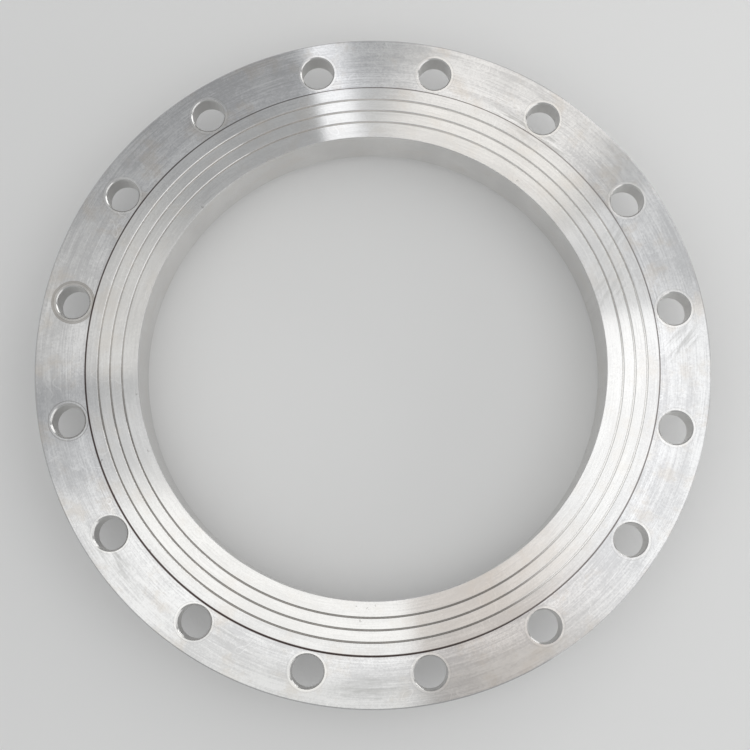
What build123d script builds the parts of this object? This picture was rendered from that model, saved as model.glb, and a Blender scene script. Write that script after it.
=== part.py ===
from build123d import *
import os

# Socket weld flange for a 406.4 mm pipe: one forging, turned all over and drilled.
# It lies on the end of its hub with the raised face up. The origin is the centre of
# the hub's end, and +Z runs along the bore to the raised face. Millimetres.

# The pipe that the flange is made for, and the socket that it slides into to be welded
pipe_diameter = 406.4
pipe_wall = 9.5
socket_clearance = 1.3
socket_depth = 19.0
socket_root_bevel = 1.5
socket_mouth_chamfer = 1.0

# Bore, in line with the inside of the pipe
bore_edge_chamfer = 0.5

# Hub round the socket, tapered slightly towards the end that carries the weld
hub_height = 48.0
hub_end_wall = 13.5
hub_taper = 3.0
hub_foot_bevel = 6.0
hub_end_chamfer = 1.5

# Bolt holes, which straddle the flange's centre lines
bolt_hole_count = 16
bolt_hole_diameter = 27.0
nut_seat_width = 20.5
hole_edge_chamfer = 1.0
wide_hole_edge_chamfer = 1.4
widely_chamfered_holes = (8, 9, 10)

# Plate, which runs on past the bolt holes, and the raised face inside them
plate_thickness = 25.0
rim_width = 11.5
rim_chamfer = 1.0
raised_face_height = 3.0
raised_face_to_hole = 4.0
raised_face_foot_bevel = 1.0

# Gasket grooves, cut with a pointed tool in the raised face
groove_count = 3
bore_to_inner_groove = 13.3
groove_spacing = 9.9
groove_width = 1.8
groove_depth = 0.8

# Heights and radii worked out from the sizes above
plate_back_z = hub_height
flange_face_z = plate_back_z + plate_thickness
raised_face_z = flange_face_z + raised_face_height
bore_radius = pipe_diameter / 2 - pipe_wall
socket_radius = pipe_diameter / 2 + socket_clearance
hub_end_radius = socket_radius + hub_end_wall
hub_base_radius = hub_end_radius + hub_taper
bolt_hole_radius = bolt_hole_diameter / 2
bolt_circle_radius = hub_base_radius + nut_seat_width + bolt_hole_radius
rim_radius = bolt_circle_radius + bolt_hole_radius + rim_width
raised_face_radius = bolt_circle_radius - bolt_hole_radius - raised_face_to_hole
inner_groove_radius = bore_radius + bore_to_inner_groove
bolt_hole_pitch = 360 / bolt_hole_count


def corner_of(section, radius, height):
    """The corner of a flat section that lies nearest to a radius and a height."""
    return section.vertices().sort_by_distance(Vector(radius, height))[0]


def turned_section():
    """Half of the section through the axis, drawn with the radius along X and the height along Y."""
    outline = Polyline(
        (bore_radius, raised_face_z),
        (raised_face_radius, raised_face_z),
        (raised_face_radius, flange_face_z),
        (rim_radius, flange_face_z),
        (rim_radius, plate_back_z),
        (hub_base_radius, plate_back_z),
        (hub_end_radius, 0),
        (socket_radius, 0),
        (socket_radius, socket_depth),
        (bore_radius, socket_depth),
        close=True,
    )
    section = make_face(outline)
    bevels = (
        (bore_radius, raised_face_z, bore_edge_chamfer),
        (raised_face_radius, flange_face_z, raised_face_foot_bevel),
        (rim_radius, flange_face_z, rim_chamfer),
        (rim_radius, plate_back_z, rim_chamfer),
        (hub_base_radius, plate_back_z, hub_foot_bevel),
        (hub_end_radius, 0, hub_end_chamfer),
        (socket_radius, 0, socket_mouth_chamfer),
        (socket_radius, socket_depth, socket_root_bevel),
    )
    for radius, height, size in bevels:
        section = chamfer(corner_of(section, radius, height), size)
    return section


def groove_section(radius):
    """A pointed groove at a radius of the raised face, carried on above it so that it cuts cleanly."""
    half_width = groove_width / 2
    return make_face(
        Polyline(
            (radius - half_width, raised_face_z),
            (radius, raised_face_z - groove_depth),
            (radius + half_width, raised_face_z),
            (radius + half_width, raised_face_z + groove_depth),
            (radius - half_width, raised_face_z + groove_depth),
            close=True,
        )
    )


def turned_body():
    """The flange as it leaves the lathe: the section, less its gasket grooves, turned about Z."""
    section = turned_section()
    for index in range(groove_count):
        section -= groove_section(inner_groove_radius + index * groove_spacing)
    return revolve(Plane.XZ * section, Axis.Z)


def bolt_hole(edge_chamfer):
    """The metal that one drill takes out: a hole through the plate, with a chamfer at its front."""
    overcut = raised_face_height / 2
    front_radius = bolt_hole_radius + edge_chamfer
    half = make_face(
        Polyline(
            (0, flange_face_z + overcut),
            (front_radius, flange_face_z + overcut),
            (front_radius, flange_face_z),
            (bolt_hole_radius, flange_face_z - edge_chamfer),
            (bolt_hole_radius, plate_back_z - overcut),
            (0, plate_back_z - overcut),
            close=True,
        )
    )
    return revolve(Plane.XZ * half, Axis.Z)


def make_flange():
    """The turned body with its ring of bolt holes, the first one half a pitch from +X."""
    flange = turned_body()
    for index in range(bolt_hole_count):
        wide = index in widely_chamfered_holes
        hole = bolt_hole(wide_hole_edge_chamfer if wide else hole_edge_chamfer)
        place = Rot(0, 0, (index + 0.5) * bolt_hole_pitch) * Pos(bolt_circle_radius, 0, 0)
        flange -= place * hole
    return flange


os.makedirs("parts", exist_ok=True)
flange = make_flange()
flange.label = "flange"
export_step(flange, "parts/flange.step")
print("volume", round(flange.volume), "height", flange.bounding_box().size.Z)
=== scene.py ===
import math

import bmesh
import bpy
import numpy as np
from mathutils import Matrix, Vector


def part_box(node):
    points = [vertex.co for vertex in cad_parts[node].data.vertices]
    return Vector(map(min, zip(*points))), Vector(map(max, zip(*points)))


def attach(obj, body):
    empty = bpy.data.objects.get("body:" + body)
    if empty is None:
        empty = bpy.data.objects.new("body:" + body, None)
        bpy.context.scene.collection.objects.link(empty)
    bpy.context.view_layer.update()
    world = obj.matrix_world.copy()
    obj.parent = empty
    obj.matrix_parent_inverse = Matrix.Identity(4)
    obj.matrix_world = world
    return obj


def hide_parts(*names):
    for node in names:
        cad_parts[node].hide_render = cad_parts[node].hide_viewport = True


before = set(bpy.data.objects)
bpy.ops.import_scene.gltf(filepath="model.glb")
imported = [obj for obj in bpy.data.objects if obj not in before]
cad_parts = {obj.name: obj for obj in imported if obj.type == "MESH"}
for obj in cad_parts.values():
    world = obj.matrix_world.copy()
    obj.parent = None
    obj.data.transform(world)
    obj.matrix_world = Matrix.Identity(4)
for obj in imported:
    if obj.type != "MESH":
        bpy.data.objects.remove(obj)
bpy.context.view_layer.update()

# The flange's turned body: one forging of stainless steel, faced, bored and grooved on a lathe.
# Its section is carried round the axis, from the front of the plate over the raised face,
# down the bore and the pipe socket, round the hub's end and out along the plate's back.

MM = 0.001
CAD_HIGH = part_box("flange")[1]
RIM_RADIUS = round(CAD_HIGH.x / MM, 2)
RAISED_FACE_Z = round(CAD_HIGH.z / MM, 2)
RAISED_FACE_HEIGHT = 3.0
PLATE_THICKNESS = 25.0
FLANGE_FACE_Z = RAISED_FACE_Z - RAISED_FACE_HEIGHT
PLATE_BACK_Z = FLANGE_FACE_Z - PLATE_THICKNESS
RAISED_FACE_RADIUS = 237.5
BORE_RADIUS = 193.7
SOCKET_RADIUS = 204.5
SOCKET_DEPTH = 19.0
SOCKET_ROOT = 1.5
HUB_BASE_RADIUS = 221.0
HUB_END_RADIUS = 218.0
HUB_END_BREAK = 1.5
HUB_FOOT_RADIUS = 8.0
HUB_FOOT_STEPS = 10
EDGE_BREAK = 1.0
BORE_EDGE_BREAK = 0.5
FINE_EDGE_BREAK = 0.2
EDGE_STEPS = 4
GROOVE_RADII = (207.0, 216.9, 226.8)
GROOVE_HALF_WIDTH = 0.9
GROOVE_BOTTOM = 0.15
GROOVE_DEPTH = 0.8
GROOVE_LIP = 0.3
LIP_STEPS = 4
FLAT_KEEPER = 0.1
HOLE_COUNT = 16
HOLE_PITCH = 2 * math.pi / HOLE_COUNT
STEPS_PER_HOLE = 48
CELL_INNER_RADIUS = 238.9
CELL_OUTER_RADIUS = RIM_RADIUS - EDGE_BREAK
TURNED, DRILLED, GROOVED, FOOT_SHADE = range(4)


def section_arc(centre, radius, start, end, steps):
    """An arc in the section: centre plus radius times the cosine and sine of an even run of angles.

    One more point before it and one after it, on its tangents, keep the shading of its flats even.
    """
    angles = np.radians(np.linspace(start, end, steps + 1))
    away = np.stack([np.cos(angles), np.sin(angles)], -1)
    arc = np.array(centre) + radius * away
    ease = math.copysign(FLAT_KEEPER, end - start) * np.stack([-away[:, 1], away[:, 0]], -1)
    points = np.concatenate([[arc[0] - ease[0]], arc, [arc[-1] + ease[-1]]])
    return [tuple(point) for point in points]


def groove_points(radius):
    """A pointed groove: the outer lip's arc, two flanks with a narrow flat between, the inner lip's arc."""
    flank = math.degrees(math.atan2(GROOVE_DEPTH, GROOVE_HALF_WIDTH - GROOVE_BOTTOM))
    set_back = GROOVE_HALF_WIDTH + GROOVE_LIP * math.tan(math.radians(flank / 2))
    lip_centre = (radius + set_back, RAISED_FACE_Z - GROOVE_LIP)
    outer = section_arc(lip_centre, GROOVE_LIP, 90, 90 + flank, LIP_STEPS)
    inner = [(2 * radius - r, z) for r, z in reversed(outer)]
    bottom = RAISED_FACE_Z - GROOVE_DEPTH
    return outer + [(radius + GROOVE_BOTTOM, bottom), (radius - GROOVE_BOTTOM, bottom)] + inner


def body_section():
    """The section as (radius, height) points, and the finish of each stretch between two points."""
    foot_centre = (RAISED_FACE_RADIUS + EDGE_BREAK, FLANGE_FACE_Z + EDGE_BREAK)
    foot = section_arc(foot_centre, EDGE_BREAK, 270, 180, EDGE_STEPS)
    points = [(CELL_INNER_RADIUS, FLANGE_FACE_Z)] + foot
    points.append((RAISED_FACE_RADIUS, RAISED_FACE_Z - FINE_EDGE_BREAK))
    points.append((RAISED_FACE_RADIUS - FINE_EDGE_BREAK, RAISED_FACE_Z))
    # The foot's fillet takes the near-black finish, which is painted shade in the step's corner.
    finish = [TURNED] * 4 + [FOOT_SHADE] * (len(foot) - 3) + [TURNED]
    for radius in reversed(GROOVE_RADII):
        points += groove_points(radius)
        # The bottom and the inner flank are duller than the rest of a groove, their grey partly painted
        # shade in its hollow.
        finish += [TURNED] * (LIP_STEPS + 4) + [GROOVED] * 2 + [TURNED] * (LIP_STEPS + 2)
    edge_centre = (BORE_RADIUS + BORE_EDGE_BREAK, RAISED_FACE_Z - BORE_EDGE_BREAK)
    back = section_arc(edge_centre, BORE_EDGE_BREAK, 90, 180, EDGE_STEPS)
    back += [
        (BORE_RADIUS, SOCKET_DEPTH),
        (SOCKET_RADIUS - SOCKET_ROOT, SOCKET_DEPTH),
        (SOCKET_RADIUS, SOCKET_DEPTH - SOCKET_ROOT),
        (SOCKET_RADIUS, EDGE_BREAK),
        (SOCKET_RADIUS + EDGE_BREAK, 0.0),
        (HUB_END_RADIUS - HUB_END_BREAK, 0.0),
        (HUB_END_RADIUS, HUB_END_BREAK),
    ]
    taper = math.degrees(math.atan2(HUB_BASE_RADIUS - HUB_END_RADIUS, PLATE_BACK_Z))
    hub_foot_centre = (HUB_BASE_RADIUS + HUB_FOOT_RADIUS, PLATE_BACK_Z - HUB_FOOT_RADIUS)
    back += section_arc(hub_foot_centre, HUB_FOOT_RADIUS, 180 - taper, 90, HUB_FOOT_STEPS)
    back.append((CELL_INNER_RADIUS, PLATE_BACK_Z))
    return np.array(points + back), np.array(finish + [TURNED] * len(back))


def rim_section():
    """The rim's section, from the plate's back round its two chamfers to the front."""
    points = [
        (CELL_OUTER_RADIUS, PLATE_BACK_Z),
        (RIM_RADIUS, PLATE_BACK_Z + EDGE_BREAK),
        (RIM_RADIUS, FLANGE_FACE_Z - EDGE_BREAK),
        (CELL_OUTER_RADIUS, FLANGE_FACE_Z),
    ]
    return np.array(points), np.full(len(points) - 1, TURNED)


def turned_surface(section):
    """Each section point at every angle: radius times the angle's cosine and sine, and its height."""
    angles = np.arange(HOLE_COUNT * STEPS_PER_HOLE)[:, None] * HOLE_PITCH / STEPS_PER_HOLE
    radius, height = section[:, 0], section[:, 1]
    return np.stack([radius * np.cos(angles), radius * np.sin(angles), height + 0 * angles], -1)


# The bolt holes: drilled through the plate, chamfered at the front and deburred at the back.
# Each has its own cell of the plate, a profile carried once round the hole that runs from
# the cell's outline in to the hole, down the wall and out again along the back.

BOLT_CIRCLE_RADIUS = 255.0
HOLE_RADIUS = 13.5
HOLE_CHAMFER = 1.0
WIDE_HOLE_CHAMFER = 1.4
WIDE_HOLES = (8, 9, 10)
BACK_CHAMFER = 0.4
SIDE_STEPS = 12


def cell_outline():
    """The outline of the cell on +X, once round: outer arc, side, inner arc, side, each evenly divided."""
    half = HOLE_PITCH / 2
    out = np.linspace(-half, half, STEPS_PER_HOLE, endpoint=False)
    side = np.linspace(CELL_OUTER_RADIUS, CELL_INNER_RADIUS, SIDE_STEPS, endpoint=False)
    outer = np.full(STEPS_PER_HOLE, CELL_OUTER_RADIUS)
    inner = np.full(STEPS_PER_HOLE, CELL_INNER_RADIUS)
    radius = np.concatenate([outer, side, inner, CELL_INNER_RADIUS + CELL_OUTER_RADIUS - side])
    angle = np.concatenate([out, np.full(SIDE_STEPS, half), -out, np.full(SIDE_STEPS, -half)])
    return np.stack([radius * np.cos(angle), radius * np.sin(angle)], -1)


def hole_stations(chamfer):
    """The profile's stations: share of the way from ring to outline, ring radius, height and finish."""
    lip = HOLE_RADIUS + chamfer
    back_lip = HOLE_RADIUS + BACK_CHAMFER
    return [
        (1.0, lip, FLANGE_FACE_Z, TURNED),
        (0.6, lip, FLANGE_FACE_Z, TURNED),
        (0.3, lip, FLANGE_FACE_Z, TURNED),
        (0.1, lip, FLANGE_FACE_Z, TURNED),
        (0.0, lip, FLANGE_FACE_Z, DRILLED),
        (0.0, HOLE_RADIUS, FLANGE_FACE_Z - chamfer, DRILLED),
        (0.0, HOLE_RADIUS, PLATE_BACK_Z + BACK_CHAMFER, DRILLED),
        (0.0, back_lip, PLATE_BACK_Z, TURNED),
        (0.3, back_lip, PLATE_BACK_Z, TURNED),
        (1.0, back_lip, PLATE_BACK_Z, TURNED),
    ]


def hole_surface(index):
    """Each station round the hole: the ring point blended with the outline point in its direction."""
    stations = hole_stations(WIDE_HOLE_CHAMFER if index in WIDE_HOLES else HOLE_CHAMFER)
    share, ring, height = (np.array([station[k] for station in stations]) for k in range(3))
    outline = cell_outline()
    centre = np.array([BOLT_CIRCLE_RADIUS, 0.0])
    away = outline - centre
    direction = away / np.linalg.norm(away, axis=1, keepdims=True)
    on_ring = centre + ring[:, None] * direction[:, None]
    flat = on_ring + share[:, None] * (outline[:, None] - on_ring)
    turn = (index + 0.5) * HOLE_PITCH
    x = flat[..., 0] * math.cos(turn) - flat[..., 1] * math.sin(turn)
    y = flat[..., 0] * math.sin(turn) + flat[..., 1] * math.cos(turn)
    finish = np.array([station[3] for station in stations[:-1]])
    return np.stack([x, y, height + 0 * x], -1), finish


def hole_centre(index):
    """The centre of a bolt hole: the bolt circle's radius at half a pitch past so many pitches."""
    turn = (index + 0.5) * HOLE_PITCH
    return BOLT_CIRCLE_RADIUS * math.cos(turn), BOLT_CIRCLE_RADIUS * math.sin(turn), 0.0


# The whole flange as one closed skin: body, rim and hole cells meet point for point and are merged.
# Edges of more than 20 degrees stay sharp, as a lathe and a drill leave them.

MERGE_DISTANCE = 0.002
SHARP_ANGLE = 20


def grid_quads(rows, columns, start):
    """The quads of a grid whose last row joins its first, with its vertices numbered from start."""
    row = np.arange(rows)[:, None]
    column = np.arange(columns - 1)
    here = row * columns + column
    there = (row + 1) % rows * columns + column
    return start + np.stack([here, there, there + 1, here + 1], -1).reshape(-1, 4)


def flange_mesh():
    """The surfaces' grids in one mesh, with each face's finish and each point's drill centre."""
    surfaces = []
    for section, finish in (body_section(), rim_section()):
        surfaces.append((turned_surface(section), finish, (0.0, 0.0, 0.0)))
    for index in range(HOLE_COUNT):
        surface, finish = hole_surface(index)
        surfaces.append((surface, finish, hole_centre(index)))
    points, quads, finishes, centres, start = [], [], [], [], 0
    for surface, finish, centre in surfaces:
        rows, columns = surface.shape[:2]
        points.append(surface.reshape(-1, 3))
        quads.append(grid_quads(rows, columns, start))
        finishes.append(np.tile(finish, rows))
        centres.append(np.tile(centre, (rows * columns, 1)))
        start += rows * columns
    mesh = bpy.data.meshes.new("turned_flange")
    mesh.from_pydata((np.concatenate(points) * MM).tolist(), [], np.concatenate(quads).tolist())
    mesh.polygons.foreach_set("material_index", np.concatenate(finishes).astype(np.int32))
    drill_centre = mesh.attributes.new("drill_centre", "FLOAT_VECTOR", "POINT")
    drill_centre.data.foreach_set("vector", (np.concatenate(centres) * MM).astype(np.float32).ravel())
    working = bmesh.new()
    working.from_mesh(mesh)
    bmesh.ops.remove_doubles(working, verts=working.verts, dist=MERGE_DISTANCE * MM)
    working.to_mesh(mesh)
    working.free()
    mesh.shade_smooth()
    mesh.set_sharp_from_angle(angle=math.radians(SHARP_ANGLE))
    return mesh


flange = bpy.data.objects.new("turned_flange", flange_mesh())
bpy.context.scene.collection.objects.link(flange)
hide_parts("flange")
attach(flange, "root")

# The steel of the flange: stainless, faced on a lathe, bright and satin, with fine round tool marks.
# The marks run round the axis, so that the eye sees each lamp drawn out into a wedge across the ring.


def linear(code):
    """An sRGB hex colour as linear red, green and blue with an alpha of 1."""
    values = [int(code[i:i + 2], 16) / 255 for i in (1, 3, 5)]
    return [v / 12.92 if v <= 0.04045 else ((v + 0.055) / 1.055) ** 2.4 for v in values] + [1.0]


def add(tree, kind, *inputs, output=None, **settings):
    """Adds a node with its settings, links or fills the inputs left in use, and gives its output."""
    node = tree.nodes.new("ShaderNode" + kind)
    for name, value in settings.items():
        setattr(node, name, value)
    for socket, value in zip([socket for socket in node.inputs if socket.enabled], inputs):
        if isinstance(value, bpy.types.NodeSocket):
            tree.links.new(value, socket)
        else:
            socket.default_value = value
    if output is not None:
        return node.outputs[output]
    return next((socket for socket in node.outputs if socket.enabled), None)


def new_material(name):
    """An empty material with a shader joined to its output, its nodes and that shader."""
    material = bpy.data.materials.new(name)
    material.use_nodes = True
    tree = material.node_tree
    tree.nodes.clear()
    surface = add(tree, "BsdfPrincipled")
    add(tree, "OutputMaterial", surface)
    return material, tree, surface.node


def overlay(tree, colour, code, *masks):
    """Lays a colour over what is there, as far as all its masks let it.

    A mask is a value and the two numbers between which it steps smoothly from 0 to 1, or from
    and to the two shares that follow them.
    """
    share = 1.0
    for value, start, end, *shares in masks:
        least, most = shares or (0.0, 1.0)
        step = add(tree, "MapRange", value, start, end, least, most, interpolation_type="SMOOTHSTEP")
        share = add(tree, "Math", share, step, operation="MULTIPLY")
    return add(tree, "Mix", share, colour, linear(code), data_type="RGBA")


def patches(tree, place, shift, size, detail, roughness=0.5):
    """Cloudy patches of a size in mm; the shift in metres gives each use its own part of the pattern."""
    moved = add(tree, "VectorMath", place, shift, operation="ADD")
    return add(tree, "TexNoise", moved, 1 / (size * MM), detail, roughness)


MIDDLE_RADIUS = 240.0


def lathe_marks(tree, flat, radius, arc_length, ring_width):
    """Noise drawn out round the axis: rings of a width that change over a length of arc, both in mm."""
    stretch = MIDDLE_RADIUS / arc_length
    direction = add(tree, "VectorMath", flat, operation="NORMALIZE")
    round_axis = add(tree, "VectorMath", direction, (stretch, stretch, 0.0), operation="MULTIPLY")
    rings = add(tree, "Math", radius, 1 / (ring_width * MM), operation="MULTIPLY")
    across = add(tree, "CombineXYZ", 0.0, 0.0, rings)
    marks = add(tree, "VectorMath", round_axis, across, operation="ADD")
    return add(tree, "TexNoise", marks, 1.0, 2.0, 0.5)


def lay_about(tree, arm):
    """The direction of tool marks that run round a centre, from the arm that leads away from it."""
    around = add(tree, "VectorMath", (0.0, 0.0, 1.0), arm, operation="CROSS_PRODUCT")
    return add(tree, "VectorMath", around, operation="NORMALIZE")


# The tool's feed marks are finer than the picture can show, so they are drawn 1.2 mm wide. Wider rings
# show where the tool's pressure changed. The grain is the mottled film that a wiped face keeps.
FEED_MARK_ARC = 30.0
FEED_MARK_WIDTH = 1.2
PRESSURE_RING_ARC = 90.0
PRESSURE_RING_WIDTH = 6.0
GRAIN_SIZE = 1.8


def turned_tone(tree, place, flat, radius, cloud, light, dark):
    """The two tones of turned steel, mixed by its tool marks, its clouds and its grain."""
    feed = lathe_marks(tree, flat, radius, FEED_MARK_ARC, FEED_MARK_WIDTH)
    pressure = lathe_marks(tree, flat, radius, PRESSURE_RING_ARC, PRESSURE_RING_WIDTH)
    grain = patches(tree, place, (0.0, 0.0, 0.0), GRAIN_SIZE, 2.0, 0.6)
    tone = 0.0
    for pattern, weight in ((feed, 0.24), (pressure, 0.18), (cloud, 0.38), (grain, 0.2)):
        tone = add(tree, "Math", pattern, weight, tone, operation="MULTIPLY_ADD")
    share = add(tree, "MapRange", tone, 0.4, 0.6, 0.0, 1.0, interpolation_type="SMOOTHSTEP")
    return add(tree, "Mix", share, linear(dark), linear(light), data_type="RGBA")


# Wiped places: x, y, direction in degrees, half length and half width of each, and how much they dull.
WIPED_PLACES = (
    (193.0, 62.0, 58.0, 42.0, 22.0, 0.4),
    (256.0, 22.0, 55.0, 27.0, 16.0, 0.42),
    (198.0, 105.0, 62.0, 30.0, 14.0, 0.38),
    (-110.0, -225.0, 155.0, 40.0, 12.0, 0.24),
    (60.0, -218.0, 20.0, 45.0, 14.0, 0.24),
    (131.0, 201.0, 147.0, 52.0, 14.0, 0.55),
    (-212.0, -154.0, 126.0, 38.0, 15.0, 0.42),
    (0.0, -263.0, 4.0, 38.0, 13.0, 0.4),
)
STROKE_LENGTH = 30.0
STROKE_WIDTH = 4.5
FILM_PATCH = 26.0
HAIR_WINDING = 22.0
RUBBED_PATCH = 50.0


def handled(tree, colour, place):
    """Lays the marks of handling over the steel: film, hair scratches, and strokes of a rag."""
    # A faint warm film of old oil lies in patches.
    film = patches(tree, place, (0.31, 0.12, 0.0), FILM_PATCH, 4.0, 0.65)
    colour = overlay(tree, colour, "#CFC6BB", (film, 0.5, 0.68, 0.0, 0.42))
    # Hair scratches run thin and winding along the middle value of a pattern, in rubbed patches only.
    hair = patches(tree, place, (0.0, 0.27, 0.4), HAIR_WINDING, 1.0)
    hair = add(tree, "Math", hair, 0.5, operation="SUBTRACT")
    hair = add(tree, "Math", hair, operation="ABSOLUTE")
    rubbed = patches(tree, place, (0.2, 0.0, 0.7), RUBBED_PATCH, 2.0)
    colour = overlay(tree, colour, "#FBFBFB", (hair, 0.010, 0.002, 0.0, 0.36), (rubbed, 0.5, 0.62))
    for x, y, direction, half_length, half_width, strength in WIPED_PLACES:
        middle = Vector((x, y, RAISED_FACE_Z)) * MM
        local = add(tree, "VectorMath", place, middle, operation="SUBTRACT")
        turn = -math.radians(direction)
        local = add(tree, "VectorRotate", local, (0.0, 0.0, 0.0), turn, rotation_type="Z_AXIS")
        oval = (1 / (half_length * MM), 1 / (half_width * MM), 0.0)
        outward = add(tree, "VectorMath", local, oval, operation="MULTIPLY")
        outward = add(tree, "VectorMath", outward, operation="LENGTH")
        drawn_out = (1 / (STROKE_LENGTH * MM), 1 / (STROKE_WIDTH * MM), 0.0)
        strokes = add(tree, "VectorMath", local, drawn_out, operation="MULTIPLY")
        strokes = add(tree, "TexNoise", strokes, 1.0, 4.0, 0.6)
        colour = overlay(
            tree, colour, "#8F8F8C", (outward, 1.0, 0.3, 0.0, strength), (strokes, 0.42, 0.62)
        )
    return colour


# Pits in the raised face: direction in degrees, radius and size of each.
PITS = (
    (265.0, 216.5, 1.3), (270.8, 217.0, 1.1), (268.0, 209.5, 1.1), (267.0, 198.0, 1.0),
    (269.5, 199.5, 1.1), (271.5, 197.0, 0.9), (200.5, 235.5, 1.1), (208.0, 236.0, 1.2),
    (221.0, 236.0, 1.3), (188.0, 195.5, 1.2), (202.0, 197.5, 1.2), (48.3, 226.5, 1.1),
    (52.5, 198.0, 1.2), (137.5, 195.0, 1.6),
)
PIT_DEPTH_LIMIT = 0.9
PIT_FULL_DEPTH = 0.5
TEAR_SIZE = 1.6
TEAR_REACH = 5.0


def pitted(tree, colour, place, height):
    """Lays dark pits over the steel, each a spot with a torn outline, on the raised face only."""
    tear = add(tree, "TexNoise", place, 1 / (TEAR_SIZE * MM), 1.0, output="Color")
    tear = add(tree, "VectorMath", tear, (0.5, 0.5, 0.5), operation="SUBTRACT")
    tear = add(tree, "VectorMath", tear, (TEAR_REACH * MM, TEAR_REACH * MM, 0.0), operation="MULTIPLY")
    torn = add(tree, "VectorMath", place, tear, operation="ADD")
    lowest, full = RAISED_FACE_Z - PIT_DEPTH_LIMIT, RAISED_FACE_Z - PIT_FULL_DEPTH
    on_top = (height, lowest * MM, full * MM, 0.0, 0.65)
    for degrees, radius, size in PITS:
        turn = math.radians(degrees)
        middle = Vector((radius * math.cos(turn), radius * math.sin(turn), RAISED_FACE_Z)) * MM
        away = add(tree, "VectorMath", torn, middle, operation="SUBTRACT")
        away = add(tree, "VectorMath", away, (1.0, 1.0, 0.0), operation="MULTIPLY")
        away = add(tree, "VectorMath", away, operation="LENGTH")
        colour = overlay(tree, colour, "#3A3431", (away, size * MM, size * 0.5 * MM), on_top)
    return colour


FINER_RADIUS = 228.0
DULLING_STARTS = 240.0
DULLING_ENDS = 268.0
BOTTOM_SIDE = (0.105, -0.995, 0.0)


def faced_in_steps(tree, colour, place, radius):
    """Tells the raised face, its finer inside and the duller edge of the plate apart, the edge painted
    darker on its lower side as shade.
    """
    step = (radius, (RAISED_FACE_RADIUS + 0.1) * MM, (RAISED_FACE_RADIUS - 0.1) * MM, 0.0, 0.45)
    colour = overlay(tree, colour, "#D8D7D5", step)
    finer = (radius, (FINER_RADIUS + 0.5) * MM, (FINER_RADIUS - 0.5) * MM, 0.0, 0.25)
    colour = overlay(tree, colour, "#F2F0EC", finer)
    # The edge of the plate is darker outwards, and darker still on the lower side, where it is painted
    # shade.
    outward = (radius, DULLING_STARTS * MM, DULLING_ENDS * MM)
    downward = add(tree, "VectorMath", place, BOTTOM_SIDE, operation="DOT_PRODUCT")
    return overlay(tree, colour, "#ABABA9", outward, (downward, 185 * MM, 250 * MM, 0.2, 0.42))


SPOT_FACED_HOLE = 7
SPOT_FACE_RADIUS = 18.3
RUBBED_RING_INSIDE = 14.4
RUBBED_RING_OUTSIDE = 17.2
DRAWN_LINE_RADIUS = 16.6
DRAWN_LINE_HALF_WIDTH = 0.6
PITCHES_TO_LEFT_HOLES = 7.0


def hole_marks(tree, colour, place, radius, cloud, spot_reach):
    """Lays a spot face round one hole, with painted shade inside its edge, and round each hole a rubbed
    ring inside a thin drawn line.
    """
    colour = overlay(
        tree, colour, "#B4B0AA",
        (spot_reach, (SPOT_FACE_RADIUS + 0.3) * MM, (SPOT_FACE_RADIUS - 0.3) * MM, 0.0, 0.55),
    )
    # Painted shade: a darker band just inside the spot face's edge, as at a shallow step.
    colour = overlay(
        tree, colour, "#8A867F",
        (spot_reach, (SPOT_FACE_RADIUS + 0.3) * MM, (SPOT_FACE_RADIUS - 0.3) * MM),
        (spot_reach, (SPOT_FACE_RADIUS - 1.6) * MM, (SPOT_FACE_RADIUS - 0.5) * MM, 0.0, 0.35),
    )
    # How far it is to the nearest hole's centre, with the place turned back into the cell on +X.
    x = add(tree, "SeparateXYZ", place, output="X")
    y = add(tree, "SeparateXYZ", place, output="Y")
    angle = add(tree, "Math", y, x, operation="ARCTAN2")
    pitches = add(tree, "Math", angle, HOLE_PITCH, operation="DIVIDE")
    angle = add(tree, "Math", pitches, operation="FRACT")
    angle = add(tree, "Math", angle, HOLE_PITCH, -HOLE_PITCH / 2, operation="MULTIPLY_ADD")
    along = add(tree, "Math", angle, operation="COSINE")
    along = add(tree, "Math", radius, along, -BOLT_CIRCLE_RADIUS * MM, operation="MULTIPLY_ADD")
    across = add(tree, "Math", angle, operation="SINE")
    across = add(tree, "Math", radius, across, operation="MULTIPLY")
    reach = add(tree, "VectorMath", add(tree, "CombineXYZ", along, across, 0.0), operation="LENGTH")
    # The countersink rubs the hole's edge bright, and its shoulder draws the line, plainer on the left.
    colour = overlay(
        tree, colour, "#F4F2EE",
        (reach, RUBBED_RING_OUTSIDE * MM, RUBBED_RING_INSIDE * MM),
        (cloud, 0.35, 0.6, 0.2, 0.5),
        (spot_reach, (SPOT_FACE_RADIUS - 0.3) * MM, (SPOT_FACE_RADIUS + 0.3) * MM),
    )
    leftward = add(tree, "Math", pitches, operation="ABSOLUTE")
    return overlay(
        tree, colour, "#7C7872",
        (reach, (DRAWN_LINE_RADIUS - DRAWN_LINE_HALF_WIDTH) * MM, DRAWN_LINE_RADIUS * MM),
        (reach, (DRAWN_LINE_RADIUS + DRAWN_LINE_HALF_WIDTH) * MM, DRAWN_LINE_RADIUS * MM),
        (leftward, PITCHES_TO_LEFT_HOLES - 0.1, PITCHES_TO_LEFT_HOLES + 0.1, 0.15, 0.5),
    )


# Painted shade: the corner at the foot of the raised face is darkened as a shadow, most on the lower left.
SHADED_FOOT_SIDE = (-0.91, -0.42, 0.0)
LEAST_SHADE_WIDTH = 0.8
MOST_SHADE_WIDTH = 1.15


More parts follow.
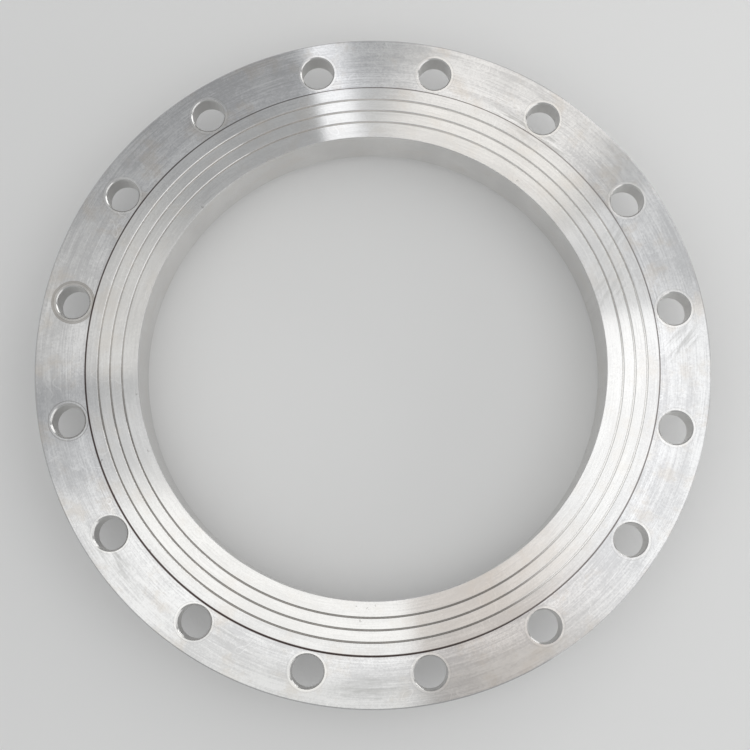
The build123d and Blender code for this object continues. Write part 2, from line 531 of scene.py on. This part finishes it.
def foot_painted_shade(tree, colour, place, radius):
    """Paints shade along the foot of the raised face, in the corner of its step, wider and darker on the
    lower left.
    """
    lower_left = add(tree, "VectorMath", place, SHADED_FOOT_SIDE, operation="DOT_PRODUCT")
    width = add(
        tree, "MapRange", lower_left, -50 * MM, 120 * MM, LEAST_SHADE_WIDTH * MM, MOST_SHADE_WIDTH * MM,
        interpolation_type="SMOOTHSTEP",
    )
    past_shade = add(tree, "Math", radius, width, operation="SUBTRACT")
    past_shade = add(tree, "Math", past_shade, RAISED_FACE_RADIUS * MM, operation="SUBTRACT")
    return overlay(
        tree, colour, "#40312D",
        (past_shade, 0.2 * MM, -0.3 * MM),
        (radius, (RAISED_FACE_RADIUS - 1.1) * MM, (RAISED_FACE_RADIUS - 0.6) * MM),
        (lower_left, -120 * MM, 120 * MM, 0.74, 0.94),
    )


LOWER_SIDE = (-0.3, -0.95, 0.0)
LIT_GROOVE_SIDE = (0.94, -0.34, 0.0)
INSIDE_OF_GROOVES = 195.0
OUTSIDE_OF_GROOVES = 232.75


def groove_painted_shade_and_light(tree, colour, place, radius, height):
    """Paints shade into the lower grooves, and paints light into them at the lower right, where the lamps
    fill them.
    """
    sunk = (
        (height, (RAISED_FACE_Z - 0.1) * MM, (RAISED_FACE_Z - 0.35) * MM),
        (radius, (OUTSIDE_OF_GROOVES + 0.25) * MM, (OUTSIDE_OF_GROOVES - 0.25) * MM),
        (radius, (INSIDE_OF_GROOVES - 0.5) * MM, (INSIDE_OF_GROOVES + 0.5) * MM),
    )
    # Painted shade in the grooves, growing towards the lower side.
    low = add(tree, "VectorMath", place, LOWER_SIDE, operation="DOT_PRODUCT")
    colour = overlay(tree, colour, "#7E7974", *sunk, (low, 20 * MM, 140 * MM, 0.0, 0.5))
    # Painted light in the grooves at the lower right.
    right = add(tree, "VectorMath", place, LIT_GROOVE_SIDE, operation="DOT_PRODUCT")
    return overlay(tree, colour, "#F6F5F3", *sunk, (right, 165 * MM, 205 * MM, 0.0, 0.9))


CLOUD_SIZE = 60.0
LAY_ACROSS = 0.25


def turned_steel(name, light, dark, roughness):
    """Stainless steel from the lathe in two tones, with its wear, painted shade and light, and the lay of
    its tool marks.
    """
    material, tree, shader = new_material(name)
    place = add(tree, "TexCoord", output="Object")
    height = add(tree, "SeparateXYZ", place, output="Z")
    flat = add(tree, "VectorMath", place, (1.0, 1.0, 0.0), operation="MULTIPLY")
    radius = add(tree, "VectorMath", flat, operation="LENGTH")
    spot_centre = Vector(hole_centre(SPOT_FACED_HOLE)) * MM
    spot_arm = add(tree, "VectorMath", flat, spot_centre, operation="SUBTRACT")
    spot_reach = add(tree, "VectorMath", spot_arm, operation="LENGTH")
    # Clouds left by hands, coolant and storage.
    cloud = patches(tree, place, (0.0, 0.0, 0.0), CLOUD_SIZE, 4.0, 0.6)
    colour = turned_tone(tree, place, flat, radius, cloud, light, dark)
    colour = handled(tree, colour, place)
    colour = pitted(tree, colour, place, height)
    # Painted shade on the plate's lower edge, by the spot face's edge, at the raised face's foot and in the
    # grooves, and painted light in the grooves at the lower right.
    colour = faced_in_steps(tree, colour, place, radius)
    colour = hole_marks(tree, colour, place, radius, cloud, spot_reach)
    colour = foot_painted_shade(tree, colour, place, radius)
    colour = groove_painted_shade_and_light(tree, colour, place, radius, height)
    tree.links.new(colour, shader.inputs["Base Color"])
    # The clouds are a little rougher than the steel between them, and the raised face is smoother.
    rough = add(tree, "Math", cloud, 0.06, roughness - 0.03, operation="MULTIPLY_ADD")
    smoother = add(
        tree, "MapRange", radius, (RAISED_FACE_RADIUS + 0.2) * MM, (RAISED_FACE_RADIUS - 0.2) * MM,
        0.0, 0.035, interpolation_type="SMOOTHSTEP",
    )
    tree.links.new(add(tree, "Math", rough, smoother, operation="SUBTRACT"), shader.inputs["Roughness"])
    in_spot = add(
        tree, "MapRange", spot_reach, (SPOT_FACE_RADIUS + 0.3) * MM, (SPOT_FACE_RADIUS - 0.3) * MM,
        0.0, 1.0, interpolation_type="SMOOTHSTEP",
    )
    round_axis, round_spot = lay_about(tree, place), lay_about(tree, spot_arm)
    lay = add(tree, "Mix", in_spot, round_axis, round_spot, data_type="VECTOR")
    tree.links.new(lay, shader.inputs["Tangent"])
    shader.inputs["Metallic"].default_value = 1.0
    shader.inputs["Anisotropic"].default_value = 1.0
    shader.inputs["Anisotropic Rotation"].default_value = LAY_ACROSS
    return material


def drilled_steel(name, colour, roughness):
    """Stainless steel from the drill: an even satin, with marks that run round each hole's own centre."""
    material, tree, shader = new_material(name)
    place = add(tree, "TexCoord", output="Object")
    centre = add(tree, "Attribute", attribute_name="drill_centre", output="Vector")
    arm = add(tree, "VectorMath", place, centre, operation="SUBTRACT")
    tree.links.new(lay_about(tree, arm), shader.inputs["Tangent"])
    shader.inputs["Base Color"].default_value = linear(colour)
    shader.inputs["Metallic"].default_value = 1.0
    shader.inputs["Roughness"].default_value = roughness
    shader.inputs["Anisotropic"].default_value = 0.7
    shader.inputs["Anisotropic Rotation"].default_value = LAY_ACROSS
    return material


# In the order of the finishes. The faced steel is the brightest; the drilled steel is a little rougher,
# so the holes shine softly; in the grooves the pointed tool and old oil leave it grey, and painted shade in
# their hollows greys it further; and at the raised face's foot the steel is painted nearly black as shade.
flange.data.materials.append(turned_steel("faced_stainless_steel", "#E9E9E9", "#C8C8C9", 0.175))
flange.data.materials.append(drilled_steel("drilled_stainless_steel", "#DEDDDB", 0.28))
flange.data.materials.append(turned_steel("grooved_stainless_steel", "#A5A09B", "#817C77", 0.25))
flange.data.materials.append(turned_steel("foot_shade_painted_steel", "#3E3430", "#2E2826", 0.45))

# The studio floor: one plain pale matt sheet under the flange, painted an even light grey.

FLOOR_HALF = 4.0
BACKDROP_PALENESS = 0.12


def studio_floor():
    """A square with its middle under the flange: four corners, half a side out along X and Y."""
    corners = [(x * FLOOR_HALF, y * FLOOR_HALF, 0) for x, y in ((-1, -1), (1, -1), (1, 1), (-1, 1))]
    mesh = bpy.data.meshes.new("studio_floor")
    mesh.from_pydata(corners, [], [(0, 1, 2, 3)])
    floor = bpy.data.objects.new("studio_floor", mesh)
    bpy.context.scene.collection.objects.link(floor)
    material, tree, shader = new_material("pale_studio_floor")
    shader.inputs["Base Color"].default_value = linear("#D8D8D7")
    shader.inputs["Roughness"].default_value = 0.9
    # The backdrop's own paleness: seen by the camera and in the metal, it lights nothing.
    by_camera = add(tree, "LightPath", output="Is Camera Ray")
    in_metal = add(tree, "LightPath", output="Is Glossy Ray")
    seen = add(tree, "Math", by_camera, in_metal, operation="MAXIMUM")
    glow = add(tree, "Math", seen, BACKDROP_PALENESS, operation="MULTIPLY")
    tree.links.new(glow, shader.inputs["Emission Strength"])
    mesh.materials.append(material)


studio_floor()

# The studio light: soft panels over the flange that its round tool marks draw out into wedges,
# two upright panels that the walls of the holes and the grooves mirror, and an even dim room.
# The ceiling panels lie round the line that the camera's view takes once the flange has mirrored it.

MIRRORED_CAMERA = Vector((-0.009, 0.149, 1.0))
WATTS_PER_RADIANCE = 4
ROOM_LIGHT = 0.48


def soft_panel(name, length, width, radiance, colour, location, turn):
    """A rectangular lamp whose face has the given radiance, turned by three angles."""
    light = bpy.data.lights.new(name, "AREA")
    light.shape = "RECTANGLE"
    light.size, light.size_y = length, width
    light.energy = radiance * WATTS_PER_RADIANCE * length * width
    light.color = linear(colour)[:3]
    panel = bpy.data.objects.new(name, light)
    panel.location = location
    panel.rotation_euler = turn
    bpy.context.scene.collection.objects.link(panel)


def ceiling_panel(name, azimuth, near, far, width, height, radiance, colour="#FFFFFF", heading=None):
    """A panel that faces down. One side starts at an azimuth and runs out along it, or along a heading.

    The rest of the panel lies clockwise of that side. Angles are in degrees, and the distances of the
    near and the far end from the middle, the width and the height are in metres.
    """
    turn = math.radians(azimuth if heading is None else heading)
    start = Vector((math.cos(math.radians(azimuth)), math.sin(math.radians(azimuth)), 0.0)) * near
    along = Vector((math.cos(turn), math.sin(turn), 0.0)) * (far - near)
    across = Vector((math.sin(turn), -math.cos(turn), 0.0)) * width
    middle = MIRRORED_CAMERA * height + start + along / 2 + across / 2
    soft_panel(name, far - near, width, radiance, colour, middle, (0.0, 0.0, turn))


def side_panel(name, azimuth, low, high, distance, width, radiance):
    """An upright panel that faces the axis. Its two heights, distance and width are in metres."""
    turn = math.radians(azimuth)
    middle = (distance * math.cos(turn), distance * math.sin(turn), (low + high) / 2)
    upright = (math.pi / 2, 0.0, turn + math.pi / 2)
    soft_panel(name, width, high - low, radiance, "#FFFFFF", middle, upright)


ceiling_panel("panel_right", 12, 0.3, 1.5, 1.41, 1.8, 0.75)
ceiling_panel("panel_front_left", 267, 0.155, 1.2, 1.72, 1.8, 0.63, "#FFFEFB", heading=283)
ceiling_panel("panel_back", 93.4, 0.281, 0.816, 0.31, 0.8, 0.58, "#FFFAF3", heading=66)
ceiling_panel("panel_back_right", 35, 0.3, 1.3, 0.32, 1.8, 0.36)
ceiling_panel("panel_front_warm", 319, 0.3, 1.3, 0.46, 1.8, 0.31, "#FFEAD6")
ceiling_panel("panel_back_strip", 102.8, 0.15, 0.8, 0.052, 0.8, 0.72, "#FBFCFF")
ceiling_panel("panel_left_front", 210, 0.25, 1.2, 0.2, 1.8, 0.27)
ceiling_panel("panel_left", 184, 0.3, 1.3, 0.33, 1.8, 0.3, "#FFFBF4")
ceiling_panel("panel_overhead", 0, -0.3, 0.3, 0.6, 1.8, 0.45, "#FDFEFF")
side_panel("panel_side", 338, 0.03, 1.0, 1.7, 2.2, 0.75)
side_panel("panel_back_side", 42, 0.05, 0.75, 1.7, 1.1, 1.9)

world = bpy.data.worlds.new("studio")
bpy.context.scene.world = world
world.use_nodes = True
room = world.node_tree.nodes["Background"]
room.inputs["Color"].default_value = linear("#FBFDFF")
room.inputs["Strength"].default_value = ROOM_LIGHT

# The camera, above the flange and tipped a little towards its lower edge, as its circles show it.
# The flange's face is moved to the origin, turned, and set off in rim radii in front of the lens.

FOCAL_PIXELS = 1502
IMAGE_PIXELS = 750
SENSOR_WIDTH = 36
VIEW_DEPTH = 20
CAMERA_TURN = Vector([math.radians(v) for v in (-8.16, -0.46, -0.66)])
CAMERA_SHIFT = Vector((-0.0078, 0.0309, -4.439)) * RIM_RADIUS * MM

camera_data = bpy.data.cameras.new("camera")
camera_data.sensor_width = SENSOR_WIDTH
camera_data.lens = FOCAL_PIXELS / IMAGE_PIXELS * SENSOR_WIDTH
camera_data.clip_end = VIEW_DEPTH
camera = bpy.data.objects.new("camera", camera_data)
tip = Matrix.Rotation(CAMERA_TURN.length, 4, CAMERA_TURN.normalized())
to_camera = Matrix.Translation(CAMERA_SHIFT) @ tip @ Matrix.Translation((0, 0, -FLANGE_FACE_Z * MM))
camera.matrix_world = to_camera.inverted()
bpy.context.scene.collection.objects.link(camera)
bpy.context.scene.camera = camera
bpy.context.scene.view_settings.view_transform = "Standard"
